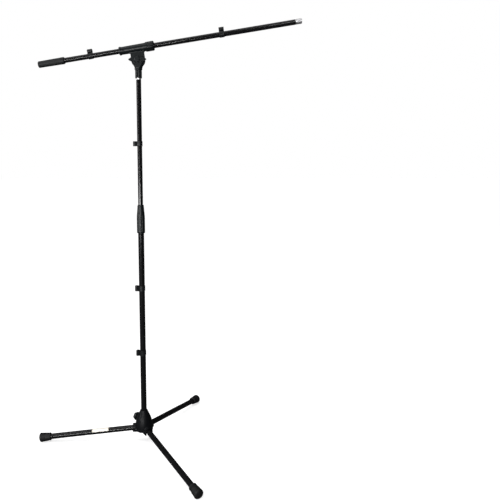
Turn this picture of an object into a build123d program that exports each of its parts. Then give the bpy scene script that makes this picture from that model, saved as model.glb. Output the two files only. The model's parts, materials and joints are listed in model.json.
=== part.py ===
"""Boom microphone stand with a cast tripod hub, a telescoping column and a clutch-held boom.

Millimetres, +Z up. The column axis is the Z axis and the floor is z = 0, so the origin is the point on the
floor under the column. +X is the way the boom's threaded end points; the tilt bolt lies along Y.
"""
from build123d import *
import os
from math import cos, radians, sin, tan

os.makedirs("parts", exist_ok=True)

# ---------------------------------------------------------------- driving dimensions
RUNNING = 0.1            # radial clearance of a running fit
LOOSE = 0.3              # radial clearance of a loose guide

# tubes
UPPER_D = 16.0           # upper column tube
UPPER_WALL = 1.0
LOWER_WALL = 1.2
COLUMN_GAP = 0.8         # between the upper tube and the lower tube's bore
LOWER_D = UPPER_D + 2 * (COLUMN_GAP + LOWER_WALL)
BOOM_D = 16.0            # boom tube
BOOM_WALL = 1.0
LEG_D = 19.0             # leg tube
LEG_WALL = 1.2

# legs and feet
LEG_AZIMUTHS = (184.0, 304.9, 63.5)
LEG_SLOPE = 7.0          # degrees down from level
LEG_REACH = 378.0        # column axis to the end of a foot
PIN_RADIUS = 26.0        # column axis to a leg's hinge pin
PIN_D = 5.0
LEG_TAIL = 6.0           # leg tube behind its pin
FOOT_LENGTH = 42.0
FOOT_NECK_R = 13.7       # foot cap radius where it starts
FOOT_RIM_R = 16.0        # foot cap radius where it stands on the floor
FOOT_DOME = 7.0
FOOT_SOLE = 8.0          # rubber beyond the end of the leg tube

# hub casting
HUB_TOP_R = LOWER_D / 2 + 2.4
HUB_ABOVE_PIN = 67.4
LOBE_BELOW_PIN = 11.0     # foot of the three arches below the pins
SKIRT_BELOW_PIN = 6.5     # foot of the bell between them
SKIRT_R = 31.5
HUB_WALL = 3.5
BORE_BOSS_R = LOWER_D / 2 + 4
LOBE_REACH = 40.0
CHEEK_WALL = 4.5
SLOT_CLEARANCE = 0.5
CLAMP_AZIMUTH = 133.0    # between two legs
CLAMP_ABOVE_PIN = 24.0   # clamp screw axis above the pins
CLAMP_SCREW_D = 8.0
CLAMP_BOSS_D = 18.0
CLAMP_BOSS_REACH = 40.0
WEB_THICK = 8.0
KNOB_D = 30.0
KNOB_LENGTH = 12.0

# lower tube, clutch and upper tube
TUBE_BOTTOM = 55.0
PLUG_LIP = 3.0
CLUTCH_BOTTOM = 758.0
CLUTCH_LENGTH = 95.0
CLUTCH_R = LOWER_D / 2 + 3.6
LOWER_TOP = 806.0
RING_BOTTOM = 1257.0     # top of the upper tube, under the bright ring
UPPER_LENGTH = 760.0
BUSHING_LIP = 5.0

# swivel
RING_HEIGHT = 5.0
STUD_D = 9.525           # 3/8 inch thread
STUD_LENGTH = 22.0
SOCKET_D = 21.8
SOCKET_LENGTH = 26.0
BAND_D = 25.0
BAND_HEIGHT = 6.0
CONE_LOW_R = 13.5
CONE_TOP_R = 20.0
CONE_HEIGHT = 17.0
PIVOT_ABOVE_CONE = 6.0
TONGUE_R = 22.0
TONGUE_THICK = 12.6
WASHER_THICK = 0.8
CHEEK_THICK = 5.3
CHEEK_R = 12.0
BOLT_D = 8.0
WING_SPAN = 55.6
WING_SHOULDER = 17.0     # where a wing starts to taper
WING_HEIGHT = 13.0
WING_THICK = 7.0
WING_BOSS_D = 18.0

# boom and its clutch housing
BOOM_TILT = 7.6          # degrees up at the threaded end
BOOM_RISE = 37.3         # tilt bolt to boom axis
BARREL_HALF = 57.0
BARREL_R = 12.6
LINER_WALL = 1.3
COLLAR_D = 30.0
COLLAR_LENGTH = 27.5
NOSE_WALL = 2.5
END_RING = 6.0
BOOM_FRONT = 503.0       # tube end ahead of the housing's middle
BOOM_REAR = 328.0        # grip end behind it
TIP_D = 15.875           # 5/8 inch thread
TIP_LENGTH = 19.0
TIP_RELIEF = 1.5         # undercut between the tube and the thread
GRIP_LENGTH = 88.0
GRIP_R = 11.1
GRIP_END_R = 10.2
GRIP_CAP = 5.0

# cable clips: distance along their tube to the clip's start
CLIP_LENGTH = 16.0
COLUMN_CLIP_LENGTH = 19.0
CLIP_WALL = 2.0
CABLE_D = 8.4            # opening for the cable
CABLE_WALL = 2.4
UPPER_CLIP_Z = 1046.0
MIDDLE_CLIP_Z = 557.0
LOWER_CLIP_Z = 326.0
REAR_CLIP_U = -160.5
FRONT_CLIP_U = 266.0

# blank label on the first leg
LABEL_START = 101.0
LABEL_LENGTH = 60.0
LABEL_THICK = 0.25
LABEL_ARC = 150.0

# ---------------------------------------------------------------- places worked out from them
LEG_LENGTH = (LEG_REACH - PIN_RADIUS) / cos(radians(LEG_SLOPE))
PIN_Z = (LEG_LENGTH - FOOT_DOME) * sin(radians(LEG_SLOPE)) + FOOT_RIM_R * cos(radians(LEG_SLOPE))
LEG_R = LEG_D / 2
SLOT_HALF = LEG_R + SLOT_CLEARANCE
LOBE_HALF = SLOT_HALF + CHEEK_WALL
TAIL_SWEEP = (LEG_TAIL ** 2 + LEG_R ** 2) ** 0.5 + SLOT_CLEARANCE
HUB_TOP = PIN_Z + HUB_ABOVE_PIN
HUB_BOTTOM = PIN_Z - LOBE_BELOW_PIN
CLAMP_Z = PIN_Z + CLAMP_ABOVE_PIN
CLUTCH_TOP = CLUTCH_BOTTOM + CLUTCH_LENGTH
RING_TOP = RING_BOTTOM + RING_HEIGHT
SOCKET_TOP = RING_TOP + SOCKET_LENGTH
BAND_TOP = SOCKET_TOP + BAND_HEIGHT
CONE_TOP = BAND_TOP + CONE_HEIGHT
PIVOT_Z = CONE_TOP + PIVOT_ABOVE_CONE
SLOT_Y = TONGUE_THICK / 2 + WASHER_THICK + 2 * RUNNING
CHEEK_Y = SLOT_Y + CHEEK_THICK
LINER_R = BOOM_D / 2 + RUNNING + LINER_WALL
NOSE_R = LINER_R + RUNNING + NOSE_WALL
COLLAR_START = BARREL_HALF - COLLAR_LENGTH
LOWER_BORE = LOWER_D - 2 * LOWER_WALL
UPPER_BORE = UPPER_D - 2 * UPPER_WALL
BOOM_BORE = BOOM_D - 2 * BOOM_WALL
LEG_BORE = LEG_D - 2 * LEG_WALL

# Local frames. In each, +Z runs along the sub-part and -X is its upper side.
BOOM_FRAME = Pos(0, 0, PIVOT_Z) * Rot(0, -BOOM_TILT, 0) * Pos(0, 0, BOOM_RISE) * Rot(0, 90, 0)
LEG_FRAMES = [
    Rot(0, 0, azimuth) * Pos(PIN_RADIUS, 0, PIN_Z) * Rot(0, 90 + LEG_SLOPE, 0) for azimuth in LEG_AZIMUTHS
]
CLAMP_FRAME = Rot(0, 0, CLAMP_AZIMUTH) * Pos(0, 0, CLAMP_Z) * Rot(0, 90, 0)
NODES = {}


# ---------------------------------------------------------------- shared shapes
def rod(diameter, start, end):
    """A round bar along Z."""
    return Pos(0, 0, (start + end) / 2) * Cylinder(diameter / 2, end - start)


def tube(outer, inner, start, end):
    """A round tube along Z."""
    return rod(outer, start, end) - rod(inner, start - 1, end + 1)


def turned(points):
    """A solid of revolution about Z from (radius, z) corners."""
    return revolve(make_face(Plane.XZ * Polyline(*points, close=True)), Axis.Z)


def around(count, first=0.0):
    """Evenly spaced turns about Z."""
    return [Rot(0, 0, first + k * 360 / count) for k in range(count)]


def cross_hole(diameter, length):
    """A bar along Y through the local origin."""
    return Rot(90, 0, 0) * Cylinder(diameter / 2, length)


def cable_clip(tube_d, grip, start, length):
    """A spring clip round a tube with an open cable ring on its -X side. grip is its clearance on the tube."""
    inner = tube_d / 2 + grip
    outer = inner + CLIP_WALL
    cable_r = CABLE_D / 2
    ring_r = cable_r + CABLE_WALL
    ring_x = -(outer + ring_r - CLIP_WALL / 2)
    mouth = 0.62 * CABLE_D
    profile = Circle(outer) + Pos(ring_x, 0) * Circle(ring_r) - Circle(inner) - Pos(ring_x, 0) * Circle(cable_r)
    profile -= Pos(ring_x - ring_r, 0) * Rectangle(2 * ring_r - CABLE_WALL, mouth)
    profile -= Pos(outer, 0) * Rectangle(outer, 1.1 * inner)
    return Pos(0, 0, start) * extrude(profile, length)


# ---------------------------------------------------------------- tripod
def hub_casting():
    """Bell with three arches for the legs, a bored boss for the column tube and a boss for the clamp screw."""
    top, low = HUB_ABOVE_PIN, -SKIRT_BELOW_PIN
    flare = Spline((HUB_TOP_R, top), (18.0, top - 13), (24.5, top - 28), (29.0, top - 43), (SKIRT_R, low))
    outline = flare + Polyline((SKIRT_R, low), (0, low), (0, top), (HUB_TOP_R, top))
    bell = Pos(0, 0, PIN_Z) * revolve(make_face(Plane.XZ * outline), Axis.Z)
    arch = Circle(LOBE_HALF) + Pos(LOBE_BELOW_PIN / 2, 0) * Rectangle(LOBE_BELOW_PIN, 2 * LOBE_HALF)
    arch &= Pos((LOBE_BELOW_PIN - LOBE_HALF) / 2, 0) * Rectangle(LOBE_BELOW_PIN + LOBE_HALF, 2 * LOBE_HALF)
    lobe = Pos(0, 0, PIN_Z) * Rot(0, 90, 0) * extrude(arch, LOBE_REACH)
    lobes = Part() + [Rot(0, 0, a) * lobe for a in LEG_AZIMUTHS]
    hollow_r = SKIRT_R - HUB_WALL
    hollow = Pos(0, 0, PIN_Z) * turned([
        (BORE_BOSS_R, low - 1), (hollow_r, low - 1), (hollow_r - 3, 14), (hollow_r - 9, 33), (BORE_BOSS_R, 41),
    ])
    boss_r = CLAMP_BOSS_D / 2
    web = Polyline((0, top - 1), (HUB_TOP_R - 1, top - 1), (CLAMP_BOSS_REACH, CLAMP_ABOVE_PIN + boss_r - 1),
                   (CLAMP_BOSS_REACH, CLAMP_ABOVE_PIN), (0, CLAMP_ABOVE_PIN - boss_r), close=True)
    web_plate = Pos(0, 0, PIN_Z) * extrude(make_face(Plane.XZ * web), WEB_THICK / 2, both=True)
    clamp_boss = CLAMP_FRAME * rod(CLAMP_BOSS_D, BORE_BOSS_R - 3, CLAMP_BOSS_REACH)
    casting = bell + lobes - (hollow - lobes) + Rot(0, 0, CLAMP_AZIMUTH) * web_plate + clamp_boss
    for leg in LEG_FRAMES:
        casting -= leg * leg_room()
        casting -= leg * cross_hole(PIN_D, 2 * LOBE_HALF + 2)
    casting -= rod(LOWER_D + 2 * LOOSE, HUB_BOTTOM - 1, HUB_TOP + 1)
    casting -= CLAMP_FRAME * rod(CLAMP_SCREW_D + 2 * RUNNING, 0, CLAMP_BOSS_REACH + 1)
    return casting


def leg_room():
    """The space a leg needs in its arch: its own bore, the way down, and the sweep of its tail."""
    reach = LOBE_REACH + 10 - PIN_RADIUS
    drop = LOBE_BELOW_PIN + LEG_R
    way_down = Polyline((0, -TAIL_SWEEP), (0, reach), (drop, reach), (drop, -TAIL_SWEEP - 4), close=True)
    room = rod(2 * SLOT_HALF, 0, reach)
    room += extrude(make_face(Plane.XZ * way_down), SLOT_HALF, both=True)
    sweep = Rot(90, 0, 0) * Cylinder(TAIL_SWEEP, 2 * SLOT_HALF)
    return (room + sweep) - Rot(0, -90 - LEG_SLOPE, 0) * rod(2 * BORE_BOSS_R, -60, 60).moved(
        Location((-PIN_RADIUS, 0, 0)))


def foot_cap():
    """Rubber boot over the end of a leg: it widens to a rim that stands on the floor, then domes over."""
    start = LEG_LENGTH - FOOT_LENGTH
    rim = LEG_LENGTH - FOOT_DOME
    outline = Polyline((0, start), (FOOT_NECK_R - 1, start), (FOOT_NECK_R, start + 1.5), (FOOT_RIM_R, rim))
    outline += Spline((FOOT_RIM_R, rim), (FOOT_RIM_R * 0.8, rim + FOOT_DOME * 0.72), (0, LEG_LENGTH),
                      tangents=[(0, 1), (-1, 0)])
    outline += Line((0, LEG_LENGTH), (0, start))
    boot = revolve(make_face(Plane.XZ * outline), Axis.Z)
    return boot - rod(LEG_D, start - 1, LEG_LENGTH - FOOT_SOLE)


def leg_tube():
    """Steel leg tube with the hinge pin's cross hole."""
    return tube(LEG_D, LEG_BORE, -LEG_TAIL, LEG_LENGTH - FOOT_SOLE) - cross_hole(PIN_D + RUNNING, LEG_D + 2)


def leg_plug():
    """Nylon plug in the hinge end of a leg, which turns on the pin."""
    return rod(LEG_BORE, -LEG_TAIL, 16) - cross_hole(PIN_D + RUNNING, LEG_D + 2)


def leg_label():
    """Thin blank label bent over the upper side of a leg."""
    end = LABEL_START + LABEL_LENGTH
    band = tube(LEG_D + 2 * LABEL_THICK, LEG_D, LABEL_START, end)
    half = LABEL_ARC / 2
    wedge = Polyline((0, 0), (-LEG_D * cos(radians(half)), LEG_D * sin(radians(half))), (-2 * LEG_D, 0),
                     (-LEG_D * cos(radians(half)), -LEG_D * sin(radians(half))), close=True)
    return band & (Pos(0, 0, LABEL_START) * extrude(make_face(wedge), LABEL_LENGTH))


def hub_knob():
    """Fluted clamp knob with a domed face."""
    start = CLAMP_BOSS_REACH + LOOSE
    end = start + KNOB_LENGTH
    radius = KNOB_D / 2
    knob = turned([(0, start), (radius - 4, start), (radius, start + 2.5), (radius, end - 4), (radius - 4, end),
                   (0, end)])
    for turn in around(8, 22.5):
        knob -= turn * Pos(radius + 2.2, 0, 0) * rod(8, start - 1, end + 1)
    return knob - rod(CLAMP_SCREW_D, start - 1, end - 4)


def clamp_screw():
    """Steel screw of the clamp, from the knob to just short of the pad."""
    return rod(CLAMP_SCREW_D, LOWER_D / 2 + LOOSE + 2.2, CLAMP_BOSS_REACH + LOOSE + KNOB_LENGTH - 4)


NODES["hub_casting"] = hub_casting()
NODES["leg_hinge_pins"] = Compound([leg * cross_hole(PIN_D, 2 * LOBE_HALF) for leg in LEG_FRAMES])
for number, leg in enumerate(LEG_FRAMES, 1):
    NODES[f"leg_{number}_tube"] = leg * leg_tube()
    NODES[f"leg_{number}_plug"] = leg * leg_plug()
    NODES[f"leg_{number}_foot"] = leg * foot_cap()
NODES["leg_label"] = LEG_FRAMES[0] * leg_label()
NODES["hub_knob"] = CLAMP_FRAME * hub_knob()
NODES["clamp_screw"] = CLAMP_FRAME * clamp_screw()
NODES["clamp_pad"] = CLAMP_FRAME * rod(CLAMP_SCREW_D, LOWER_D / 2 + LOOSE, LOWER_D / 2 + LOOSE + 2)


# ---------------------------------------------------------------- column
def clutch_collet():
    """Split collet fixed in the top of the lower tube; its fingers grip the upper tube."""
    bore = UPPER_D + 2 * RUNNING
    foot = LOWER_TOP - 20
    lip = LOWER_TOP + 5
    tips = CLUTCH_TOP - 8
    collet = turned([(0, foot), (LOWER_BORE / 2, foot), (LOWER_BORE / 2, LOWER_TOP), (LOWER_D / 2, LOWER_TOP),
                     (LOWER_D / 2, lip), (LOWER_D / 2 - 0.5, lip), (LOWER_D / 2 - 1, tips), (0, tips)])
    collet -= rod(bore, foot - 1, tips + 1)
    for turn in around(4, 45):
        collet -= turn * Pos(LOWER_D / 2, 0, (lip + 7 + tips) / 2) * Box(LOWER_D, 1.5, tips - lip - 7 + 0.01)
    return collet


def clutch_grip():
    """Hand grip of the column clutch, waisted to a shoulder at the top."""
    low, top, r = CLUTCH_BOTTOM, CLUTCH_TOP, CLUTCH_R
    lip = LOWER_TOP + 5 + LOOSE
    grip = turned([(0, low), (r - 1.4, low), (r, low + 4), (r, low + 55), (r - 0.7, low + 62), (r - 1.8, low + 75),
                   (r - 2.6, low + 85), (r - 3.0, top - 3), (r - 4.0, top), (0, top)])
    hollow = turned([(0, low - 1), (LOWER_D / 2 + LOOSE, low - 1), (LOWER_D / 2 + LOOSE, lip),
                     (LOWER_D / 2 - 0.2, lip), (LOWER_D / 2 - 0.7, top - 8 + LOOSE),
                     (UPPER_D / 2 + LOOSE, top - 8 + LOOSE), (UPPER_D / 2 + LOOSE, top + 1), (0, top + 1)])
    return grip - hollow


def height_bushing():
    """Nylon guide under the upper tube; it runs in the lower tube and the upper tube turns on it."""
    end = RING_BOTTOM - UPPER_LENGTH
    lip = rod(LOWER_BORE - 3 * RUNNING, end - 0.2 - BUSHING_LIP, end - 0.2)
    return lip + rod(UPPER_BORE - 2 * RUNNING, end - 1, end + 20)


def column_plug():
    """Plastic plug that closes the foot of the lower tube."""
    return rod(LOWER_D, TUBE_BOTTOM - PLUG_LIP, TUBE_BOTTOM) + rod(LOWER_BORE, TUBE_BOTTOM, TUBE_BOTTOM + 16)


def top_stud():
    """Bright turned insert: a plug in the upper tube, a plain ring and the 3/8 inch stud."""
    stud = rod(UPPER_BORE, RING_BOTTOM - 20, RING_BOTTOM) + rod(UPPER_D, RING_BOTTOM, RING_TOP)
    return stud + rod(STUD_D, RING_TOP, RING_TOP + STUD_LENGTH)


NODES["lower_tube"] = tube(LOWER_D, LOWER_BORE, TUBE_BOTTOM, LOWER_TOP)
NODES["column_plug"] = column_plug()
NODES["clutch_collet"] = clutch_collet()
NODES["clutch_grip"] = clutch_grip()
NODES["height_bushing"] = height_bushing()
NODES["upper_tube"] = tube(UPPER_D, UPPER_BORE, RING_BOTTOM - UPPER_LENGTH, RING_BOTTOM)
NODES["top_stud"] = top_stud()
NODES["upper_clip"] = cable_clip(UPPER_D, 0, UPPER_CLIP_Z, CLIP_LENGTH)
NODES["middle_clip"] = cable_clip(LOWER_D, RUNNING, MIDDLE_CLIP_Z, COLUMN_CLIP_LENGTH)
NODES["lower_clip"] = cable_clip(LOWER_D, RUNNING, LOWER_CLIP_Z, COLUMN_CLIP_LENGTH)


# ---------------------------------------------------------------- swivel
def swivel_fork():
    """Moulded fork: fluted collar, band and cone below, two cheeks round the tilt bolt above."""
    insert_r = STUD_D / 2 + 2
    fork = turned([(0, RING_TOP), (SOCKET_D / 2, RING_TOP), (SOCKET_D / 2, SOCKET_TOP), (BAND_D / 2, SOCKET_TOP),
                   (BAND_D / 2, BAND_TOP), (0, BAND_TOP)])
    cone = turned([(0, BAND_TOP), (CONE_LOW_R, BAND_TOP), (CONE_TOP_R, CONE_TOP - 1), (CONE_TOP_R - 1, CONE_TOP),
                   (0, CONE_TOP)])
    fork += cone & (Pos(0, 0, BAND_TOP) * Box(2 * CONE_TOP_R, 2 * CHEEK_Y, 2 * CONE_HEIGHT))
    for turn in around(12):
        fork -= turn * Pos(SOCKET_D / 2 + 0.5, 0, 0) * rod(3.0, RING_TOP + 1, SOCKET_TOP - 1)
    cheek = Polyline((-CONE_TOP_R + 3, CONE_TOP - 2), (-CHEEK_R + 1, PIVOT_Z + 4), (CHEEK_R - 1, PIVOT_Z + 4),
                     (CONE_TOP_R - 3, CONE_TOP - 2), close=True)
    fork += extrude(make_face(Plane.XZ * cheek), CHEEK_Y, both=True)
    fork += Pos(0, 0, PIVOT_Z) * cross_hole(2 * CHEEK_R, 2 * CHEEK_Y)
    slot_floor = PIVOT_Z - TONGUE_R - 2 * LOOSE
    fork -= Pos(0, 0, slot_floor + 40) * Box(80, 2 * SLOT_Y, 80)
    fork -= Pos(0, 0, PIVOT_Z) * cross_hole(BOLT_D, 80)
    return fork - rod(2 * insert_r, RING_TOP - 1, RING_TOP + STUD_LENGTH + 2)


def thread_insert():
    """Brass thread insert in the fork's collar, screwed on the stud."""
    return tube(STUD_D + 4, STUD_D, RING_TOP, RING_TOP + STUD_LENGTH)


def tilt_bolt():
    """Hexagon-head bolt through the fork and the tongue, head on the +Y side."""
    head = extrude(Plane.XZ.offset(-CHEEK_Y) * RegularPolygon(7.5, 6), -5)
    end = CHEEK_Y + 12
    shank = Pos(0, (CHEEK_Y - end) / 2, 0) * cross_hole(BOLT_D, CHEEK_Y + end)
    return Pos(0, 0, PIVOT_Z) * (head + shank)


def friction_washers():
    """Two thin washers between the fork's cheeks and the tongue."""
    ring = Rot(90, 0, 0) * (Cylinder(9, WASHER_THICK) - Cylinder(BOLT_D / 2, WASHER_THICK + 1))
    reach = SLOT_Y - WASHER_THICK / 2
    return Compound([Pos(0, side * reach, PIVOT_Z) * ring for side in (-1, 1)])


def wing_knob():
    """Wing nut on the tilt bolt, on the -Y side: a round boss with two tapering wings."""
    start = CHEEK_Y + LOOSE
    half, tall = WING_SPAN / 2, WING_HEIGHT / 2
    wing = Polyline((-half, 0.7), (-half, -0.7), (-WING_SHOULDER, -tall), (WING_SHOULDER, -tall),
                    (half, -0.7), (half, 0.7), (WING_SHOULDER, tall), (-WING_SHOULDER, tall), close=True)
    wings = Pos(0, -start - 3, 0) * extrude(make_face(Plane.XZ * wing), WING_THICK)
    boss = Pos(0, -start - 6.5, 0) * Rot(90, 0, 0) * Cylinder(WING_BOSS_D / 2 - 2, 13)
    bore = Pos(0, -start - 6, 0) * cross_hole(BOLT_D + 2 * RUNNING, 12.5)
    return Pos(0, 0, PIVOT_Z) * (wings + boss - bore)


NODES["swivel_fork"] = swivel_fork()
NODES["thread_insert"] = thread_insert()
NODES["tilt_bolt"] = tilt_bolt()
NODES["friction_washers"] = friction_washers()
NODES["wing_knob"] = wing_knob()


# ---------------------------------------------------------------- boom
def boom_housing():
    """Barrel of the boom clutch with its nose, and the tongue down to the tilt bolt."""
    rear, nose_end = -BARREL_HALF + END_RING, BARREL_HALF - 7
    barrel = turned([(0, rear), (BARREL_R - 0.6, rear), (BARREL_R, 0), (BARREL_R + 0.4, COLLAR_START - LOOSE),
                     (NOSE_R, COLLAR_START - LOOSE), (NOSE_R, nose_end), (0, nose_end)])
    tongue = Pos(BOOM_RISE / 2, 0, 0) * Box(BOOM_RISE, TONGUE_THICK, 2 * TONGUE_R)
    tongue += Pos(BOOM_RISE, 0, 0) * cross_hole(2 * TONGUE_R, TONGUE_THICK)
    gusset = Polyline((BARREL_R - 4, -TONGUE_R - 4), (BARREL_R + 3, -TONGUE_R), (BARREL_R + 3, TONGUE_R),
                      (BARREL_R - 4, TONGUE_R + 4), close=True)
    tongue += extrude(make_face(Plane.XZ * gusset), TONGUE_THICK / 2, both=True)
    housing = barrel + tongue
    housing -= rod(2 * (LINER_R + RUNNING), rear - 1, nose_end + 1)
    housing -= Pos(BOOM_RISE, 0, 0) * cross_hole(BOLT_D + 2 * RUNNING, 40)
    return housing - screw_place() * Cylinder(2, 12)


def screw_place():
    """Where the barrel's grub screw sits: near the rear end, on the -Y side."""
    return Pos(0, -BARREL_R + 1.5, -BARREL_HALF + END_RING + 7) * Rot(90, 0, 0)


def end_ring():
    """Ring that closes the barrel's rear end."""
    ring = turned([(0, -BARREL_HALF), (BARREL_R - 0.6, -BARREL_HALF), (BARREL_R + 0.6, -BARREL_HALF + 1.5),
                   (BARREL_R + 0.6, -BARREL_HALF + END_RING), (0, -BARREL_HALF + END_RING)])
    return ring - rod(BOOM_D + 2 * LOOSE, -BARREL_HALF - 1, BARREL_HALF)


def clamp_collar():
    """Lobed collar turned by hand to clamp the boom."""
    start, end, r = COLLAR_START, BARREL_HALF, COLLAR_D / 2
    collar = turned([(0, start), (r - 1.2, start), (r, start + 1.5), (r, end - 2.5), (r - 2, end), (0, end)])
    collar -= rod(2 * (NOSE_R + RUNNING), start - 1, end - 6)
    collar -= rod(BOOM_D + 2 * LOOSE, start - 1, end + 1)
    for turn in around(8, 22.5):
        collar -= turn * Pos(r + 1.2, 0, 0) * rod(5.2, start + 6, end + 1)
    return collar


def boom_grip():
    """Rubber sleeve over the counterweight end of the boom, closed at the back."""
    rear, front = -BOOM_REAR, -BOOM_REAR + GRIP_LENGTH
    sleeve = turned([(0, rear), (GRIP_END_R - 2, rear), (GRIP_END_R, rear + 2), (GRIP_R, front - 4), (GRIP_R, front - 1),
                     (GRIP_R - 1, front), (0, front)])
    return sleeve - rod(BOOM_D, rear + GRIP_CAP, front + 1)


def boom_tip():
    """Bright insert with the 5/8 inch male end that takes a microphone holder."""
    end = BOOM_FRONT + TIP_LENGTH
    neck = BOOM_FRONT + TIP_RELIEF
    male = turned([(0, BOOM_FRONT), (TIP_D / 2 - 0.8, BOOM_FRONT), (TIP_D / 2 - 0.8, neck), (TIP_D / 2, neck),
                   (TIP_D / 2, end - 1), (TIP_D / 2 - 1, end), (0, end)])
    return male + rod(BOOM_BORE, BOOM_FRONT - 18, BOOM_FRONT)


boom_start = -BOOM_REAR + GRIP_CAP
NODES["boom_housing"] = BOOM_FRAME * boom_housing()
NODES["housing_screw"] = BOOM_FRAME * screw_place() * Cylinder(2, 2.8)
NODES["end_ring"] = BOOM_FRAME * end_ring()
NODES["clamp_collar"] = BOOM_FRAME * clamp_collar()
NODES["boom_liner"] = BOOM_FRAME * tube(2 * LINER_R, BOOM_D + 2 * RUNNING, -BARREL_HALF + END_RING + LOOSE,
                                        BARREL_HALF - 7)
NODES["boom_tube"] = BOOM_FRAME * tube(BOOM_D, BOOM_BORE, boom_start, BOOM_FRONT)
NODES["counterweight"] = BOOM_FRAME * rod(BOOM_BORE, boom_start, boom_start + GRIP_LENGTH - 12)
NODES["boom_grip"] = BOOM_FRAME * boom_grip()
NODES["boom_tip"] = BOOM_FRAME * boom_tip()
NODES["rear_boom_clip"] = BOOM_FRAME * cable_clip(BOOM_D, 0, REAR_CLIP_U, CLIP_LENGTH)
NODES["front_boom_clip"] = BOOM_FRAME * cable_clip(BOOM_D, 0, FRONT_CLIP_U, CLIP_LENGTH)

for name, shape in NODES.items():
    export_step(shape, f"parts/{name}.step")
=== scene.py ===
# %% [markdown]
# # A boom microphone stand
# The stand's engineering model is loaded first. It says where every part is and how it moves, in metres,
# with the floor at height zero and the column on the Z axis. Everything below is about how the stand
# looks.

# %% Load the frame
import bpy
import json
import math
from mathutils import Matrix, Vector


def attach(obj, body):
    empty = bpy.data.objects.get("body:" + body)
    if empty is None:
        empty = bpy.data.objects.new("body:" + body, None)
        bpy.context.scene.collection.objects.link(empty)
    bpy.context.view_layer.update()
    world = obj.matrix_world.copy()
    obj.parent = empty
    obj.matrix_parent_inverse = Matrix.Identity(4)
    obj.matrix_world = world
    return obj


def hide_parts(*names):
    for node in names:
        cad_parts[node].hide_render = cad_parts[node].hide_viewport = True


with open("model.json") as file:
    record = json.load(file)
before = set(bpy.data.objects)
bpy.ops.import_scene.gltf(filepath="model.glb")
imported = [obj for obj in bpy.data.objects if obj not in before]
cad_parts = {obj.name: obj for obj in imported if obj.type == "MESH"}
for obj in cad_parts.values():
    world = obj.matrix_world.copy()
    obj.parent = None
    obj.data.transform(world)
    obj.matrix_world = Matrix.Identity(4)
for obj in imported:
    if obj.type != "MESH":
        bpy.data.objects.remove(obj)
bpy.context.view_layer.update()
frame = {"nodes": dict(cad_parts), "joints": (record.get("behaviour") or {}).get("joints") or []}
MM = 0.001
JOINTS = {joint["name"]: joint for joint in frame["joints"]}

# %% [markdown]
# Operators act on all that is selected, so each step starts by selecting nothing. Each sub-part is
# modelled standing on the Z axis, where it is easy to draw, and is then put where it belongs: on a leg,
# on the boom or beside the hub. A place is a matrix whose third column points along the sub-part.

# %% Places of the sub-parts
UPRIGHT = Matrix.Identity(4)


def clear_selection():
    if bpy.context.object and bpy.context.object.mode != "OBJECT":
        bpy.ops.object.mode_set(mode="OBJECT")
    bpy.ops.object.select_all(action="DESELECT")


def place_along(origin, along, side):
    """A frame at origin with Z along the sub-part and Y along side."""
    z, y = Vector(along).normalized(), Vector(side).normalized()
    x = y.cross(z)
    turn = Matrix((x, y, z)).transposed().to_4x4()
    return Matrix.Translation(Vector(origin)) @ turn


LEG_SLOPE = math.radians(7.0)
BOOM = place_along(JOINTS["boom_roll"]["pos_m"], JOINTS["boom_roll"]["axis"], (0, 1, 0))
LEGS = []
for number in (1, 2, 3):
    fold = JOINTS[f"leg_{number}_fold"]
    side = Vector(fold["axis"])
    outward = side.cross(Vector((0, 0, 1)))
    along = outward * math.cos(LEG_SLOPE) - Vector((0, 0, math.sin(LEG_SLOPE)))
    LEGS.append(place_along(fold["pos_m"], along, side))
clamp = JOINTS["hub_knob_turn"]
clamp_side = Vector((0, 0, 1)).cross(Vector(clamp["axis"]))
CLAMP = place_along(clamp["pos_m"], clamp["axis"], clamp_side)
PIVOT = Vector(JOINTS["boom_tilt"]["pos_m"])
print("tilt bolt at", [round(c, 3) for c in PIVOT], "legs", len(LEGS))

# %% [markdown]
# ## Finishes
# Black things are never one flat black. Powder coat has a fine orange peel, moulded nylon has the grain
# of the mould, rubber is dull and slightly dusty. Three effects are shared by the materials, so each is a
# node group built once: a fine grain that feeds a bump, the scuffs that handling leaves, and pale dust.

# %% Helpers for node trees
def new_group(name, inputs, outputs):
    """An empty shader node group with float or colour sockets."""
    group = bpy.data.node_groups.new(name, "ShaderNodeTree")
    for label, kind, value in inputs:
        socket = group.interface.new_socket(label, in_out="INPUT", socket_type=kind)
        socket.default_value = value
    for label, kind in outputs:
        group.interface.new_socket(label, in_out="OUTPUT", socket_type=kind)
    start = group.nodes.new("NodeGroupInput")
    end = group.nodes.new("NodeGroupOutput")
    return group, start, end


def add(tree, kind, **settings):
    """A node with its properties set."""
    node = tree.nodes.new(kind)
    for key, value in settings.items():
        setattr(node, key, value)
    return node


FLOAT = "NodeSocketFloat"
COLOUR = "NodeSocketColor"
VECTOR = "NodeSocketVector"

# %% The grain group
grain_group, start, end = new_group("fine_grain", [("Vector", VECTOR, (0, 0, 0)), ("Scale", FLOAT, 900.0)],
                                    [("Height", FLOAT), ("Tone", FLOAT)])
fine = add(grain_group, "ShaderNodeTexNoise")
fine.inputs["Detail"].default_value = 3.0
fine.inputs["Roughness"].default_value = 0.55
pits = add(grain_group, "ShaderNodeTexVoronoi", feature="SMOOTH_F1")
half_scale = add(grain_group, "ShaderNodeMath", operation="MULTIPLY")
half_scale.inputs[1].default_value = 0.6
blend_grain = add(grain_group, "ShaderNodeMath", operation="MULTIPLY_ADD")
blend_grain.inputs[1].default_value = 0.5
link = grain_group.links.new
link(start.outputs["Vector"], fine.inputs["Vector"])
link(start.outputs["Vector"], pits.inputs["Vector"])
link(start.outputs["Scale"], fine.inputs["Scale"])
link(start.outputs["Scale"], half_scale.inputs[0])
link(half_scale.outputs[0], pits.inputs["Scale"])
link(pits.outputs["Distance"], blend_grain.inputs[0])
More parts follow.
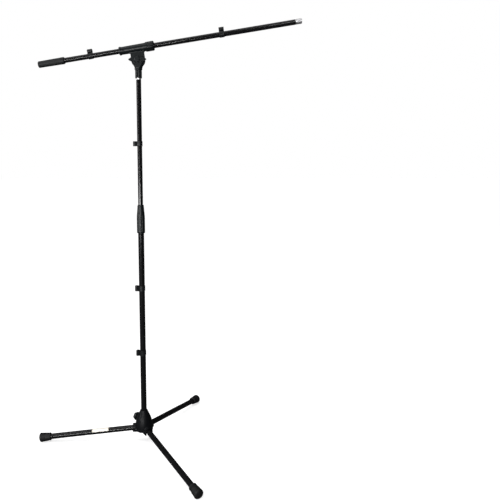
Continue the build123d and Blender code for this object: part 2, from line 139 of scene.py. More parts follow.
link(fine.outputs["Fac"], blend_grain.inputs[2])
link(blend_grain.outputs[0], end.inputs["Height"])
link(fine.outputs["Fac"], end.inputs["Tone"])
print("grain group nodes", len(grain_group.nodes))

# %% The scuff group
scuff_inputs = [("Vector", VECTOR, (0, 0, 0)), ("Scale", FLOAT, 60.0), ("Amount", FLOAT, 0.2)]
scuff_group, start, end = new_group("handling_scuffs", scuff_inputs, [("Mask", FLOAT)])
stretch = add(scuff_group, "ShaderNodeMapping")
stretch.inputs["Scale"].default_value = (6.0, 6.0, 0.6)
lines = add(scuff_group, "ShaderNodeTexNoise")
lines.inputs["Detail"].default_value = 4.0
patches = add(scuff_group, "ShaderNodeTexNoise")
patches.inputs["Scale"].default_value = 22.0
line_cut = add(scuff_group, "ShaderNodeMapRange")
line_cut.inputs["From Min"].default_value = 0.56
line_cut.inputs["From Max"].default_value = 0.72
patch_cut = add(scuff_group, "ShaderNodeMapRange")
patch_cut.inputs["From Min"].default_value = 0.42
patch_cut.inputs["From Max"].default_value = 0.62
both = add(scuff_group, "ShaderNodeMath", operation="MULTIPLY")
weigh = add(scuff_group, "ShaderNodeMath", operation="MULTIPLY", use_clamp=True)
link = scuff_group.links.new
link(start.outputs["Vector"], stretch.inputs["Vector"])
link(stretch.outputs["Vector"], lines.inputs["Vector"])
link(start.outputs["Scale"], lines.inputs["Scale"])
link(start.outputs["Vector"], patches.inputs["Vector"])
link(lines.outputs["Fac"], line_cut.inputs["Value"])
link(patches.outputs["Fac"], patch_cut.inputs["Value"])
link(line_cut.outputs["Result"], both.inputs[0])
link(patch_cut.outputs["Result"], both.inputs[1])
link(both.outputs[0], weigh.inputs[0])
link(start.outputs["Amount"], weigh.inputs[1])
link(weigh.outputs[0], end.inputs["Mask"])
print("scuff group nodes", len(scuff_group.nodes))

# %% The dust group
dust_inputs = [("Vector", VECTOR, (0, 0, 0)), ("Scale", FLOAT, 35.0), ("Amount", FLOAT, 0.1)]
dust_group, start, end = new_group("settled_dust", dust_inputs, [("Mask", FLOAT)])
cloud = add(dust_group, "ShaderNodeTexNoise")
cloud.inputs["Detail"].default_value = 6.0
cloud.inputs["Roughness"].default_value = 0.7
specks = add(dust_group, "ShaderNodeTexVoronoi", feature="F1")
specks.inputs["Scale"].default_value = 420.0
speck_cut = add(dust_group, "ShaderNodeMapRange")
speck_cut.inputs["From Min"].default_value = 0.16
speck_cut.inputs["From Max"].default_value = 0.05
speck_part = add(dust_group, "ShaderNodeMath", operation="MULTIPLY_ADD")
speck_part.inputs[1].default_value = 0.5
weigh = add(dust_group, "ShaderNodeMath", operation="MULTIPLY", use_clamp=True)
link = dust_group.links.new
link(start.outputs["Vector"], cloud.inputs["Vector"])
link(start.outputs["Vector"], specks.inputs["Vector"])
link(start.outputs["Scale"], cloud.inputs["Scale"])
link(specks.outputs["Distance"], speck_cut.inputs["Value"])
link(speck_cut.outputs["Result"], speck_part.inputs[0])
link(cloud.outputs["Fac"], speck_part.inputs[2])
link(speck_part.outputs[0], weigh.inputs[0])
link(start.outputs["Amount"], weigh.inputs[1])
link(weigh.outputs[0], end.inputs["Mask"])
print("dust group nodes", len(dust_group.nodes))


# %% [markdown]
# A coated finish is put together the same way each time: the base colour varies a little with the grain,
# scuffs lighten it and make it smoother, dust makes it paler and duller, and the grain lifts the surface
# through a bump. Only the numbers differ between steel tube, casting, nylon and rubber. `turn` lays the
# scuffs along the piece.

# %% Coated finishes
def coated(name, colour, scuff_colour, roughness, grain_scale, grain_depth, scuffs, dust, specular=0.25,
           turn=(0.0, 0.0, 0.0)):
    material = bpy.data.materials.new(name)
    material.use_nodes = True
    tree = material.node_tree
    shader = tree.nodes["Principled BSDF"]
    link = tree.links.new
    place = add(tree, "ShaderNodeTexCoord")
    lay = add(tree, "ShaderNodeMapping")
    lay.inputs["Rotation"].default_value = turn
    grain = add(tree, "ShaderNodeGroup", node_tree=grain_group)
    grain.inputs["Scale"].default_value = grain_scale
    scuff = add(tree, "ShaderNodeGroup", node_tree=scuff_group)
    scuff.inputs["Amount"].default_value = scuffs
    settled = add(tree, "ShaderNodeGroup", node_tree=dust_group)
    settled.inputs["Amount"].default_value = dust
    link(place.outputs["Object"], lay.inputs["Vector"])
    for group in (grain, scuff, settled):
        link(lay.outputs["Vector"], group.inputs["Vector"])
    tone = add(tree, "ShaderNodeMix", data_type="RGBA")
    tone.inputs[6].default_value = (*[0.75 * c for c in colour], 1)
    tone.inputs[7].default_value = (*[1.3 * c for c in colour], 1)
    link(grain.outputs["Tone"], tone.inputs[0])
    worn = add(tree, "ShaderNodeMix", data_type="RGBA")
    worn.inputs[7].default_value = (*scuff_colour, 1)
    link(scuff.outputs["Mask"], worn.inputs[0])
    link(tone.outputs[2], worn.inputs[6])
    dusty = add(tree, "ShaderNodeMix", data_type="RGBA")
    dusty.inputs[7].default_value = (0.30, 0.29, 0.27, 1)
    link(settled.outputs["Mask"], dusty.inputs[0])
    link(worn.outputs[2], dusty.inputs[6])
    link(dusty.outputs[2], shader.inputs["Base Color"])
    sheen = add(tree, "ShaderNodeMapRange")
    sheen.inputs["To Min"].default_value = roughness - 0.07
    sheen.inputs["To Max"].default_value = roughness + 0.07
    link(grain.outputs["Tone"], sheen.inputs["Value"])
    dull = add(tree, "ShaderNodeMath", operation="MULTIPLY_ADD", use_clamp=True)
    dull.inputs[1].default_value = 1.2
    link(settled.outputs["Mask"], dull.inputs[0])
    link(sheen.outputs["Result"], dull.inputs[2])
    link(dull.outputs[0], shader.inputs["Roughness"])
    lift = add(tree, "ShaderNodeBump")
    lift.inputs["Strength"].default_value = 0.35
    lift.inputs["Distance"].default_value = grain_depth
    link(grain.outputs["Height"], lift.inputs["Height"])
    link(lift.outputs["Normal"], shader.inputs["Normal"])
    shader.inputs["Specular IOR Level"].default_value = specular
    return material


BLACK = (0.0035, 0.0036, 0.0042)
SCUFFED = (0.030, 0.031, 0.034)
TILT = JOINTS["boom_roll"]["axis"]
BOOM_TURN = (0.0, -math.atan2(TILT[0], TILT[2]), 0.0)
column_coat = coated("column_powder_coat", BLACK, SCUFFED, roughness=0.16,
                     grain_scale=700, grain_depth=0.00002, scuffs=0.25, dust=0.006)
boom_coat = coated("boom_powder_coat", BLACK, SCUFFED, roughness=0.14,
                   grain_scale=700, grain_depth=0.00002, scuffs=0.25, dust=0.006, turn=BOOM_TURN)
hub_coat = coated("casting_powder_coat", (0.0035, 0.004, 0.005), SCUFFED, roughness=0.40,
                  grain_scale=520, grain_depth=0.00012, scuffs=0.15, dust=0.004, specular=0.12)
nylon = coated("moulded_nylon", (0.0040, 0.0062, 0.0072), (0.035, 0.040, 0.043), roughness=0.33,
               grain_scale=1500, grain_depth=0.00008, scuffs=0.20, dust=0.012)
clip_nylon = coated("clip_nylon", (0.0045, 0.0055, 0.0065), (0.035, 0.04, 0.043), roughness=0.34,
                    grain_scale=1500, grain_depth=0.00005, scuffs=0.15, dust=0.015)
grip_rubber = coated("grip_rubber", (0.0050, 0.0060, 0.0075), (0.03, 0.03, 0.03), roughness=0.50,
                     grain_scale=1100, grain_depth=0.00012, scuffs=0.15, dust=0.03)
foot_rubber = coated("foot_rubber", (0.0045, 0.0048, 0.0055), (0.03, 0.03, 0.03), roughness=0.55,
                     grain_scale=900, grain_depth=0.00015, scuffs=0.20, dust=0.012)
inner_nylon = coated("inner_nylon", (0.03, 0.03, 0.03), (0.06, 0.06, 0.06), roughness=0.5,
                     grain_scale=1200, grain_depth=0.00005, scuffs=0.1, dust=0.02)
black_oxide = coated("black_oxide", (0.004, 0.004, 0.005), (0.05, 0.05, 0.05), roughness=0.3,
                     grain_scale=1800, grain_depth=0.00003, scuffs=0.3, dust=0.01)
print("coated finishes", len(bpy.data.materials))

# %% [markdown]
# The legs lie three ways, so each leg tube gets its own copy of the tube's coat with the scuffs turned
# along it.

# %% Leg finishes
leg_coats = []
for number, leg in enumerate(LEGS, 1):
    lying = leg.to_3x3().inverted().to_euler()
    leg_coats.append(coated(f"leg_{number}_powder_coat", BLACK, SCUFFED, roughness=0.20, grain_scale=700,
                            grain_depth=0.00002, scuffs=0.30, dust=0.006, turn=tuple(lying)))
print("leg coats", [m.name for m in leg_coats])


# %% [markdown]
# Bright parts are turned on a lathe and plated. Fine rings run round them, so the bump and the roughness
# follow bands along the piece's axis, with a few fingerprints that dull the plating.

# %% Plated finishes
def plated(name, colour, roughness, ring_scale, turn=(0.0, 0.0, 0.0)):
    material = bpy.data.materials.new(name)
    material.use_nodes = True
    tree = material.node_tree
    shader = tree.nodes["Principled BSDF"]
    link = tree.links.new
    place = add(tree, "ShaderNodeTexCoord")
    lay = add(tree, "ShaderNodeMapping")
    lay.inputs["Rotation"].default_value = turn
    rings = add(tree, "ShaderNodeTexWave", wave_type="BANDS", bands_direction="Z")
    rings.inputs["Scale"].default_value = ring_scale
    rings.inputs["Distortion"].default_value = 0.6
    marks = add(tree, "ShaderNodeGroup", node_tree=dust_group)
    marks.inputs["Scale"].default_value = 90.0
    marks.inputs["Amount"].default_value = 0.5
    link(place.outputs["Object"], lay.inputs["Vector"])
    link(lay.outputs["Vector"], rings.inputs["Vector"])
    link(lay.outputs["Vector"], marks.inputs["Vector"])
    tone = add(tree, "ShaderNodeMix", data_type="RGBA")
    tone.inputs[6].default_value = (*colour, 1)
    tone.inputs[7].default_value = (*[0.82 * c for c in colour], 1)
    link(marks.outputs["Mask"], tone.inputs[0])
    link(tone.outputs[2], shader.inputs["Base Color"])
    smooth = add(tree, "ShaderNodeMapRange")
    smooth.inputs["To Min"].default_value = roughness
    smooth.inputs["To Max"].default_value = roughness + 0.22
    link(marks.outputs["Mask"], smooth.inputs["Value"])
    link(smooth.outputs["Result"], shader.inputs["Roughness"])
    lift = add(tree, "ShaderNodeBump")
    lift.inputs["Strength"].default_value = 0.25
    lift.inputs["Distance"].default_value = 0.00003
    link(rings.outputs["Fac"], lift.inputs["Height"])
    link(lift.outputs["Normal"], shader.inputs["Normal"])
    shader.inputs["Metallic"].default_value = 1.0
    return material


bright_nickel = plated("bright_nickel", (0.90, 0.90, 0.91), 0.38, 900.0)
tip_nickel = plated("tip_nickel", (0.90, 0.90, 0.91), 0.30, 900.0, turn=BOOM_TURN)
plain_brass = plated("plain_brass", (0.72, 0.52, 0.22), 0.25, 900.0)
drawn_steel = plated("drawn_steel", (0.42, 0.42, 0.44), 0.35, 500.0, turn=BOOM_TURN)
print("plated finishes ready")

# %% [markdown]
# The label on the first leg is a strip of cream film, left blank. A thin darker border and a faint
# speckle of ink keep it from looking like bare metal. The border is found from how far along the leg a
# point is.

# %% Label film
label_film = bpy.data.materials.new("label_film")
label_film.use_nodes = True
tree = label_film.node_tree
shader = tree.nodes["Principled BSDF"]
place = add(tree, "ShaderNodeTexCoord")
to_leg = add(tree, "ShaderNodeMapping", vector_type="POINT")
into = LEGS[0].inverted()
to_leg.inputs["Location"].default_value = into.to_translation()
to_leg.inputs["Rotation"].default_value = into.to_euler()
parts = add(tree, "ShaderNodeSeparateXYZ")
LABEL_MIDDLE = 0.131
LABEL_HALF = 0.030
off_middle = add(tree, "ShaderNodeMath", operation="SUBTRACT")
off_middle.inputs[1].default_value = LABEL_MIDDLE
distance = add(tree, "ShaderNodeMath", operation="ABSOLUTE")
border = add(tree, "ShaderNodeMapRange")
border.inputs["From Min"].default_value = LABEL_HALF - 0.0022
border.inputs["From Max"].default_value = LABEL_HALF - 0.0018
ink = add(tree, "ShaderNodeTexNoise")
ink.inputs["Scale"].default_value = 2500.0
film = add(tree, "ShaderNodeMix", data_type="RGBA")
film.inputs[6].default_value = (0.90, 0.86, 0.76, 1)
film.inputs[7].default_value = (0.97, 0.94, 0.87, 1)
edged = add(tree, "ShaderNodeMix", data_type="RGBA")
edged.inputs[7].default_value = (0.52, 0.46, 0.36, 1)
link = tree.links.new
link(place.outputs["Object"], to_leg.inputs["Vector"])
link(to_leg.outputs["Vector"], parts.inputs["Vector"])
link(parts.outputs["Z"], off_middle.inputs[0])
link(off_middle.outputs[0], distance.inputs[0])
link(distance.outputs[0], border.inputs["Value"])
link(place.outputs["Object"], ink.inputs["Vector"])
link(ink.outputs["Fac"], film.inputs[0])
link(film.outputs[2], edged.inputs[6])
link(border.outputs["Result"], edged.inputs[0])
link(edged.outputs[2], shader.inputs["Base Color"])
gloss = add(tree, "ShaderNodeMapRange")
gloss.inputs["To Min"].default_value = 0.25
gloss.inputs["To Max"].default_value = 0.40
link(ink.outputs["Fac"], gloss.inputs["Value"])
link(gloss.outputs["Result"], shader.inputs["Roughness"])
print("label film nodes", len(tree.nodes))


# %% [markdown]
# ## Drawing round pieces
# Most of this stand is round. By hand, such a piece starts as a circle, which is extruded along the axis
# and scaled at each step, ring by ring. `draw_out` does those steps from a list of radius and height
# pairs. A list that comes back to its first pair makes a hollow ring; any other list is closed with a
# face at each end.

# %% Ring by ring
def draw_out(name, profile, sides=64):
    """A round piece on the Z axis from (radius, height) pairs in millimetres."""
    clear_selection()
    radius, height = profile[0]
    hollow = profile[0] == profile[-1]
    bpy.ops.mesh.primitive_circle_add(vertices=sides, radius=radius * MM, location=(0, 0, height * MM),
                                      fill_type="NOTHING" if hollow else "NGON")
    piece = bpy.context.object
    piece.name = name
    bpy.ops.object.transform_apply(location=True)
    bpy.ops.object.mode_set(mode="EDIT")
    bpy.ops.mesh.select_all(action="SELECT")
    for next_radius, next_height in profile[1:]:
        step = {"value": (0, 0, (next_height - height) * MM)}
        if hollow:
            bpy.ops.mesh.extrude_edges_move(TRANSFORM_OT_translate=step)
        else:
            bpy.ops.mesh.extrude_region_move(TRANSFORM_OT_translate=step)
        grow = next_radius / radius
        bpy.ops.transform.resize(value=(grow, grow, 1), center_override=(0, 0, next_height * MM))
        radius, height = next_radius, next_height
    bpy.ops.mesh.select_all(action="SELECT")
    bpy.ops.mesh.remove_doubles(threshold=1e-6)
    bpy.ops.mesh.normals_make_consistent(inside=False)
    bpy.ops.object.mode_set(mode="OBJECT")
    return piece


def pull_in(piece, chosen, factor, centre=(0, 0, 0)):
    """Scales vertices about the Z axis, as for a flute; chosen(angle, radius, height) picks them."""
    clear_selection()
    bpy.context.view_layer.objects.active = piece
    bpy.ops.object.mode_set(mode="EDIT")
    bpy.ops.mesh.select_mode(type="VERT")
    bpy.ops.mesh.select_all(action="DESELECT")
    bpy.ops.object.mode_set(mode="OBJECT")
    count = 0
    for vertex in piece.data.vertices:
        x, y, z = vertex.co
        vertex.select = chosen(math.atan2(y, x) / math.tau % 1.0, math.hypot(x, y) / MM, z / MM)
        count += vertex.select
    bpy.ops.object.mode_set(mode="EDIT")
    bpy.ops.transform.resize(value=(factor, factor, 1), center_override=centre)
    bpy.ops.object.mode_set(mode="OBJECT")
    return count


def apply_all(piece):
    """Applies the piece's modifiers in order."""
    clear_selection()
    piece.select_set(True)
    bpy.context.view_layer.objects.active = piece
    for modifier in list(piece.modifiers):
        bpy.ops.object.modifier_apply(modifier=modifier.name)


def round_edges(piece, width, segments=3, angle=35.0):
    """A small round on every sharp edge, then smooth shading."""
    bevel = piece.modifiers.new("round", "BEVEL")
    bevel.width = width * MM
    bevel.segments = segments
    bevel.limit_method = "ANGLE"
    bevel.angle_limit = math.radians(angle)
    bevel.harden_normals = False
    apply_all(piece)
    bpy.ops.object.shade_smooth_by_angle(angle=math.radians(40.0))


def put(piece, place, body, slot, material, *nodes):
    """Puts a piece in its place, with its place in its mesh, on its body and instead of its CAD nodes."""
    clear_selection()
    piece.select_set(True)
    bpy.context.view_layer.objects.active = piece
    piece.matrix_world = place @ piece.matrix_world
    bpy.ops.object.transform_apply(location=True, rotation=True, scale=True)
    piece.data.materials.clear()
    piece.data.materials.append(material)
    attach(piece, body)
    if nodes:
        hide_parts(*nodes)
    print(piece.name, "faces", len(piece.data.polygons), "on", body)
    return piece


# %% [markdown]
# ## Feet
# Each leg ends in a rubber boot, pressed over the tube. It has a rolled lip at the neck, widens towards
# the floor and is domed at the end. Three shallow grooves run round the wide part, where the rubber
# grips. One boot is drawn, then copied with its own mesh for each leg.

# %% Rubber boots
FOOT_END = 354.64
FOOT_START = FOOT_END - 42.0


def boot_profile():
    start, rim, end = FOOT_START, FOOT_END - 7.0, FOOT_END
    points = [(9.6, start), (12.7, start), (13.7, start + 0.8), (13.9, start + 2.2), (13.2, start + 3.4),
              (13.0, start + 4.4), (13.4, start + 6.0), (14.4, start + 16.0)]
    for k in range(3):
        groove = start + 20.0 + 4.2 * k
        wall = 14.75 + 0.36 * k
        points += [(wall, groove - 0.9), (wall - 0.55, groove - 0.45), (wall - 0.55, groove + 0.45),
                   (wall + 0.05, groove + 0.9)]
    points += [(15.9, rim - 1.6), (16.0, rim)]
    for k in range(1, 8):
        swing = k * math.pi / 16
        points.append((16.0 - 15.5 * (1 - math.cos(swing)) ** 1.15, rim + 7.0 * math.sin(swing)))
    points += [(0.4, end)]
    return points


boot = draw_out("boot_1", boot_profile(), 72)
round_edges(boot, 0.35, 2)
boots = [boot]
for number in (2, 3):
    copy = boot.copy()
    copy.data = boot.data.copy()
    copy.name = f"boot_{number}"
    bpy.context.collection.objects.link(copy)
    boots.append(copy)
for number, (piece, leg) in enumerate(zip(boots, LEGS), 1):
    put(piece, leg, f"leg_{number}", "rubber", foot_rubber, f"leg_{number}_foot")

# %% [markdown]
# ## The grip at the back of the boom
# The counterweight end of the boom wears a rubber sleeve. It is a turned shape, a little thicker at the
# front, with a rounded closed end. Eighteen shallow flutes along it keep the hand from slipping.

# %% Boom grip
GRIP_REAR = -328.0
GRIP_FRONT = GRIP_REAR + 88.0
grip_profile = [(5.0, GRIP_REAR), (8.6, GRIP_REAR), (9.8, GRIP_REAR + 0.7), (10.3, GRIP_REAR + 2.4),
                (10.35, GRIP_REAR + 9.0), (10.9, GRIP_FRONT - 24.0), (10.9, GRIP_FRONT - 12.0),
                (11.1, GRIP_FRONT - 10.5), (11.1, GRIP_FRONT - 2.0), (10.5, GRIP_FRONT), (8.05, GRIP_FRONT)]
GRIP_SIDES = 108
FLUTE_PITCH = 6


def in_grip_flute(angle, radius, height):
    along = GRIP_REAR + 5 < height < GRIP_FRONT - 11
    return radius > 9.9 and along and round(angle * GRIP_SIDES) % FLUTE_PITCH in (0, 1)


boom_sleeve = draw_out("boom_sleeve", grip_profile, GRIP_SIDES)
fluted = pull_in(boom_sleeve, in_grip_flute, 0.965)
round_edges(boom_sleeve, 0.3, 2)
put(boom_sleeve, BOOM, "boom", "rubber", grip_rubber, "boom_grip")
print("flute points", fluted)

# %% [markdown]
# ## The threaded tip
# A microphone holder screws on the bright tip. Its thread is 5/8 inch with 27 turns to the inch, so one
# turn is 0.94 mm. A short zigzag line, one thread high, is swept up and round by the Screw modifier, as a
# thread is cut.

# %% Threaded tip
PITCH = 25.4 / 27
CREST = 7.9375
ROOT = CREST - 0.58
TIP_START = 503.0
THREAD_TURNS = 17
clear_selection()
bpy.ops.mesh.primitive_circle_add(vertices=4, radius=PITCH * MM / 2, location=(0, 0, 0))
thread = bpy.context.object
thread.name = "tip_thread"
flank = [(ROOT, 0.0), (CREST, 0.42), (CREST, 0.52), (ROOT, 0.94)]
for vertex, (radius, height) in zip(thread.data.vertices, flank):
    vertex.co = (radius * MM, 0, (TIP_START + 1.4 + height * PITCH / 0.94) * MM)
bpy.ops.object.mode_set(mode="EDIT")
bpy.ops.mesh.select_mode(type="EDGE")
bpy.ops.mesh.select_all(action="DESELECT")
bpy.ops.object.mode_set(mode="OBJECT")
for edge in thread.data.edges:
    edge.select = set(edge.vertices) == {0, 3}
bpy.ops.object.mode_set(mode="EDIT")
bpy.ops.mesh.delete(type="EDGE")
bpy.ops.object.mode_set(mode="OBJECT")
screw = thread.modifiers.new("cut", "SCREW")
screw.screw_offset = PITCH * MM
screw.iterations = THREAD_TURNS
screw.steps = 48
screw.render_steps = 48
screw.use_merge_vertices = True
screw.merge_threshold = 1e-6
apply_all(thread)
bpy.ops.object.shade_smooth_by_angle(angle=math.radians(50.0))
tip_core = draw_out("tip_core", [(7.1, TIP_START), (7.12, TIP_START + 1.3), (7.38, TIP_START + 1.6),
                                 (7.37, TIP_START + 18.2), (6.9, TIP_START + 19.0), (5.0, TIP_START + 19.0),
                                 (4.6, TIP_START + 18.5), (4.6, TIP_START + 6.0)], 96)
bpy.ops.object.shade_smooth_by_angle(angle=math.radians(40.0))
put(tip_core, BOOM, "boom", "bright_steel", tip_nickel, "boom_tip")
put(thread, BOOM, "boom", "bright_steel", tip_nickel)

# %% [markdown]
# ## The clutch grip
# The column's clutch is squeezed and twisted by hand. It is a long moulded grip with a rounded foot, a
# straight middle and a slim shoulder. Its lower part has sixteen long shallow flutes; the shoulder stays
# smooth.

# %% Clutch grip
CLUTCH_FOOT = 758.0
clutch_outside = [(10.35, 0.0), (12.0, 0.0), (13.0, 0.8), (13.55, 3.0), (13.6, 6.0), (13.6, 50.0), (13.5, 55.0),
                  (13.15, 61.0), (12.5, 68.0), (11.85, 75.0), (11.4, 81.0), (11.0, 87.0), (10.75, 91.5),
                  (10.2, 94.0), (9.2, 95.0), (8.35, 95.0)]
clutch_bore = [(8.35, 87.0), (10.0, 85.5), (10.35, 53.0), (10.35, 0.0)]
clutch_profile = [(radius, CLUTCH_FOOT + height) for radius, height in clutch_outside + clutch_bore]
CLUTCH_SIDES = 128
CLUTCH_FLUTE_PITCH = 8


def in_clutch_flute(angle, radius, height):
    along = CLUTCH_FOOT + 5 < height < CLUTCH_FOOT + 63
    return radius > 12.4 and along and round(angle * CLUTCH_SIDES) % CLUTCH_FLUTE_PITCH in (0, 1, 2)


clutch_handle = draw_out("clutch_handle", clutch_profile, CLUTCH_SIDES)
fluted = pull_in(clutch_handle, in_clutch_flute, 0.962)
round_edges(clutch_handle, 0.3, 2)
put(clutch_handle, UPRIGHT, "clutch", "black_plastic", nylon, "clutch_grip")
print("flute points", fluted)

# %% [markdown]
# ## The clamp collar of the boom
# The collar at the front of the boom's housing clamps the boom when it is turned. It has eight lobes for
# the fingers. The ring is drawn hollow, the spaces between the lobes are pulled in, and every edge is
# rounded.

# %% Clamp collar
COLLAR_REAR = 29.5
COLLAR_FRONT = 57.0
collar_profile = [(11.98, COLLAR_REAR), (13.8, COLLAR_REAR), (14.8, COLLAR_REAR + 1.0), (15.0, COLLAR_REAR + 2.2),
                  (15.0, COLLAR_REAR + 5.0), (14.6, COLLAR_REAR + 6.0), (15.0, COLLAR_REAR + 7.0),
                  (15.0, COLLAR_FRONT - 3.0), (14.2, COLLAR_FRONT - 1.0), (12.6, COLLAR_FRONT), (8.35, COLLAR_FRONT),
                  (8.35, COLLAR_FRONT - 6.0), (11.98, COLLAR_FRONT - 6.0), (11.98, COLLAR_REAR)]
COLLAR_SIDES = 96
LOBE_PITCH = 12
HOLLOW_STEPS = ((4, 0.97), (3, 0.97), (2, 0.975), (1, 0.985))


def hollow_between_lobes(piece, sides, rim, foot):
    """Pulls a finger hollow into the rim at every LOBE_PITCH of its sides, deepest in the middle."""
    def near_hollow(angle, radius, height):
        place = round(angle * sides) % LOBE_PITCH
        return radius > rim and height > foot and min(place, LOBE_PITCH - place) < wide

    for wide, factor in HOLLOW_STEPS:
        pull_in(piece, near_hollow, factor)


collar = draw_out("collar_ring", collar_profile, COLLAR_SIDES)
hollow_between_lobes(collar, COLLAR_SIDES, 12.1, COLLAR_REAR + 6.5)
round_edges(collar, 0.3, 2)
put(collar, BOOM, "collar", "black_plastic", nylon, "clamp_collar")

# %% [markdown]
# ## The clamp knob of the hub
# A screw with a lobed knob clamps the hub to the column. The knob is a turned disc with a domed face, and
# six finger hollows are pulled into its rim.

# %% Hub knob
KNOB_START = 0.3
knob_profile = [(6.0, KNOB_START), (10.5, KNOB_START), (13.4, KNOB_START + 1.0), (14.7, KNOB_START + 2.8),
                (15.0, KNOB_START + 5.0), (14.8, KNOB_START + 8.0), (13.6, KNOB_START + 10.4),
                (11.0, KNOB_START + 11.7), (7.6, KNOB_START + 12.0), (7.0, KNOB_START + 11.4),
                (3.0, KNOB_START + 11.4)]
KNOB_SIDES = 72
knob = draw_out("hub_clamp_knob", knob_profile, KNOB_SIDES)
hollow_between_lobes(knob, KNOB_SIDES, 8.6, 0.0)
round_edges(knob, 0.35, 2)
put(knob, CLAMP, "hub_clamp", "black_plastic", nylon, "hub_knob")

# %% [markdown]
# ## The wing nut of the swivel
# A wing nut locks the tilt. A round boss is drawn out along the bolt; the wings start as a cube whose
# sides are scaled to a point and whose edges are rounded. The two are joined by remeshing them to one
# skin, as one moulding.

# %% Wing nut
WING_PLACE = place_along(PIVOT, (0, -1, 0), (0, 0, 1))
WING_START = 12.9
WING_MIDDLE = (0, 0, (WING_START + 6.5) * MM)
WING_SIZE = (0.0572, 0.0150, 0.0066)
boss = draw_out("wing_handle", [(7.5, WING_START), (8.6, WING_START + 0.6), (9.0, WING_START + 2.5),
                                (8.8, WING_START + 9.5), (8.0, WING_START + 12.2), (6.6, WING_START + 13.0),
                                (3.0, WING_START + 13.0)], 64)
clear_selection()
bpy.ops.mesh.primitive_cube_add(size=1, location=WING_MIDDLE, scale=WING_SIZE)
wings = bpy.context.object
bpy.ops.object.transform_apply(location=True, rotation=True, scale=True)
bpy.ops.object.mode_set(mode="EDIT")
bpy.ops.mesh.select_all(action="SELECT")
bpy.ops.mesh.subdivide(number_cuts=7)
bpy.ops.object.mode_set(mode="OBJECT")
for reach, narrow in ((27.0, 0.22), (20.0, 0.74)):
    bpy.ops.object.mode_set(mode="EDIT")
    bpy.ops.mesh.select_mode(type="VERT")
    bpy.ops.mesh.select_all(action="DESELECT")
    bpy.ops.object.mode_set(mode="OBJECT")
    for vertex in wings.data.vertices:
        vertex.select = abs(vertex.co.x) > reach * MM
    bpy.ops.object.mode_set(mode="EDIT")
    bpy.ops.transform.resize(value=(1, narrow, 0.92), center_override=WING_MIDDLE)
    bpy.ops.object.mode_set(mode="OBJECT")
boss.select_set(True)
bpy.context.view_layer.objects.active = boss
bpy.ops.object.join()
skin = boss.modifiers.new("skin", "REMESH")
skin.mode = "VOXEL"
skin.voxel_size = 0.0004
soften = boss.modifiers.new("soften", "SMOOTH")
soften.factor = 0.5
soften.iterations = 5
apply_all(boss)
bpy.ops.object.shade_smooth()
put(boss, WING_PLACE, "wing", "black_plastic", nylon, "wing_knob")

# %% [markdown]
# ## Castings and mouldings
# The hub, the boom's housing and the swivel's fork come out of moulds, so all their edges are soft and
# their walls run into each other. Their engineering shapes have the right walls and bores but knife
# edges. A copy of each is merged, given one even skin by remeshing, and smoothed a little, which rounds
# edges and inner corners alike.

# %% Soft-edged copies
def moulded_copy(node, name, voxel, rounds, body, slot, material):
    clear_selection()
    source = frame["nodes"][node]
    piece = source.copy()
    piece.data = source.data.copy()
    piece.name = name
    piece.parent = None
    piece.matrix_world = Matrix.Identity(4)
    for key in list(piece.keys()):
        del piece[key]
    bpy.context.collection.objects.link(piece)
    piece.select_set(True)
    bpy.context.view_layer.objects.active = piece
    bpy.ops.object.mode_set(mode="EDIT")
    bpy.ops.mesh.select_all(action="SELECT")
    bpy.ops.mesh.remove_doubles(threshold=1e-6)
    bpy.ops.object.mode_set(mode="OBJECT")
    skin = piece.modifiers.new("skin", "REMESH")
    skin.mode = "VOXEL"
    skin.voxel_size = voxel * MM
    soften = piece.modifiers.new("soften", "SMOOTH")
    soften.factor = 0.5
    soften.iterations = rounds
    apply_all(piece)
    bpy.ops.object.shade_smooth()
    return put(piece, UPRIGHT, body, slot, material, node)


moulded_copy("hub_casting", "hub_bell", 0.75, 5, "hub", "hub_paint", hub_coat)
moulded_copy("boom_housing", "clutch_housing", 0.55, 4, "boom_head", "black_plastic", nylon)
moulded_copy("swivel_fork", "fork", 0.5, 3, "upper_column", "black_plastic", nylon)
moulded_copy("end_ring", "housing_ring", 0.35, 3, "boom_head", "black_plastic", nylon)

# %% [markdown]
# ## Cable clips
# The clips are small spring mouldings. They get the same treatment with a finer skin.

# %% Cable clips
for node, body in (("upper_clip", "upper_column"), ("middle_clip", "middle_clip"), ("lower_clip", "lower_clip"),
                   ("rear_boom_clip", "boom"), ("front_boom_clip", "boom")):
    moulded_copy(node, node.replace("_clip", "_spring_clip"), 0.35, 3, body, "clip_plastic", clip_nylon)

# %% [markdown]
# ## Finishes of the carried-over parts
# Tubes, pins, screws and the parts inside keep their engineering shapes and only get their finish.

# %% Finishes of the carried-over parts
FINISH = {
    "lower_tube": column_coat, "upper_tube": column_coat, "boom_tube": boom_coat, "column_plug": inner_nylon,
    "leg_1_tube": leg_coats[0], "leg_2_tube": leg_coats[1], "leg_3_tube": leg_coats[2], "leg_1_plug": inner_nylon,
    "leg_2_plug": inner_nylon, "leg_3_plug": inner_nylon, "leg_hinge_pins": bright_nickel, "leg_label": label_film,
    "clamp_screw": bright_nickel, "clamp_pad": inner_nylon, "clutch_collet": inner_nylon,
    "height_bushing": inner_nylon, "top_stud": bright_nickel, "thread_insert": plain_brass,
    "tilt_bolt": bright_nickel, "friction_washers": bright_nickel, "housing_screw": black_oxide,
    "boom_liner": inner_nylon, "counterweight": drawn_steel,
}
for node, material in FINISH.items():
    piece = frame["nodes"][node]
    piece.data.materials.clear()
    piece.data.materials.append(material)
print("carried over", len(FINISH))

# %% [markdown]
# ## Floor and light
# The floor is plain and pale. What the eye sees of it is white paper; what the stand's coats mirror of it
# is darker, or their edges would turn grey. A tall light on the left and a low wide strip behind the
# camera draw the long bright lines on the column and the boom, a small light in front picks out the
# swivel, and a wide soft sun fills the rest.

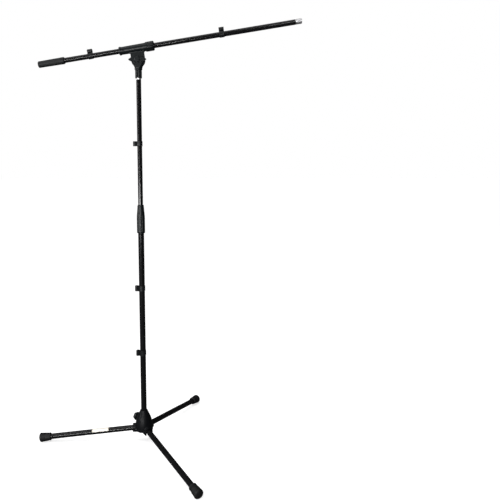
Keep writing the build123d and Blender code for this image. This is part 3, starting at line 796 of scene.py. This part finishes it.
# %% Floor
clear_selection()
bpy.ops.mesh.primitive_plane_add(size=60, location=(0, 0, 0))
floor = bpy.context.object
floor.name = "floor"
paper = bpy.data.materials.new("floor_paper")
paper.use_nodes = True
sheet = paper.node_tree
sheet.nodes["Principled BSDF"].inputs["Base Color"].default_value = (0.93, 0.93, 0.93, 1)
sheet.nodes["Principled BSDF"].inputs["Roughness"].default_value = 0.9
sheet.nodes["Principled BSDF"].inputs["Emission Color"].default_value = (1, 1, 1, 1)
sheet.nodes["Principled BSDF"].inputs["Emission Strength"].default_value = 0.62
shaded = add(sheet, "ShaderNodeBsdfDiffuse")
shaded.inputs["Color"].default_value = (0.12, 0.12, 0.12, 1)
sight = add(sheet, "ShaderNodeLightPath")
blend = add(sheet, "ShaderNodeMixShader")
sheet.links.new(sight.outputs["Is Camera Ray"], blend.inputs["Fac"])
sheet.links.new(shaded.outputs["BSDF"], blend.inputs[1])
sheet.links.new(sheet.nodes["Principled BSDF"].outputs["BSDF"], blend.inputs[2])
sheet.links.new(blend.outputs["Shader"], sheet.nodes["Material Output"].inputs["Surface"])
floor.data.materials.append(paper)

# %% Lights
bpy.context.scene.view_settings.view_transform = "Standard"
world = bpy.data.worlds.new("pale_room")
bpy.context.scene.world = world
world.use_nodes = True
room = world.node_tree
seen = room.nodes["Background"]
seen.inputs["Color"].default_value = (1, 1, 1, 1)
dim = add(room, "ShaderNodeBackground")
dim.inputs["Color"].default_value = (1, 1, 1, 1)
dim.inputs["Strength"].default_value = 0.05
ray = add(room, "ShaderNodeLightPath")
choose = add(room, "ShaderNodeMixShader")
room.links.new(ray.outputs["Is Camera Ray"], choose.inputs["Fac"])
room.links.new(dim.outputs["Background"], choose.inputs[1])
room.links.new(seen.outputs["Background"], choose.inputs[2])
room.links.new(choose.outputs["Shader"], room.nodes["World Output"].inputs["Surface"])


def soft_light(name, spot, target, size, power):
    clear_selection()
    bpy.ops.object.light_add(type="AREA", location=spot)
    lamp = bpy.context.object
    lamp.name = name
    lamp.data.shape = "RECTANGLE"
    lamp.data.size, lamp.data.size_y = size
    lamp.data.energy = power
    lamp.rotation_euler = (Vector(target) - Vector(spot)).to_track_quat("-Z", "Y").to_euler()
    return lamp


soft_light("side", (-3.0, -1.0, 1.9), (0, 0, 1.0), (0.35, 2.2), 50)
soft_light("front", (0.9, -3.6, 2.3), (0, 0, 1.1), (0.5, 0.35), 16)
soft_light("strip", (-1.0, -2.9, 0.62), (0, 0, 1.3), (2.4, 0.16), 80)
clear_selection()
bpy.ops.object.light_add(type="SUN", location=(0, 0, 4), rotation=(math.radians(12), math.radians(-10), 0))
ceiling = bpy.context.object
ceiling.name = "ceiling"
ceiling.data.energy = 1.3
ceiling.data.angle = math.radians(60)

# %% [markdown]
# ## Camera
# The camera stands in front at chest height, looks slightly down and a little to the left, and its frame
# is shifted so that the stand is on the left of the picture.

# %% Camera
FOCAL_LENGTH = 37.948
CAMERA_SPOT = (0.29633, -1.74118, 0.99614)
YAW = 0.09443
PITCH_DOWN = 0.15222
ROLL = -0.00486
camera = bpy.data.objects.new("camera", bpy.data.cameras.new("camera"))
bpy.context.collection.objects.link(camera)
camera.data.sensor_width = 36.0
camera.data.lens = FOCAL_LENGTH
camera.data.shift_x = 0.1401
camera.data.shift_y = -0.0156
camera.matrix_world = (Matrix.Translation(CAMERA_SPOT) @ Matrix.Rotation(YAW, 4, "Z") @
                       Matrix.Rotation(math.pi / 2 - PITCH_DOWN, 4, "X") @ Matrix.Rotation(ROLL, 4, "Z"))
bpy.context.scene.camera = camera
bpy.context.view_layer.update()
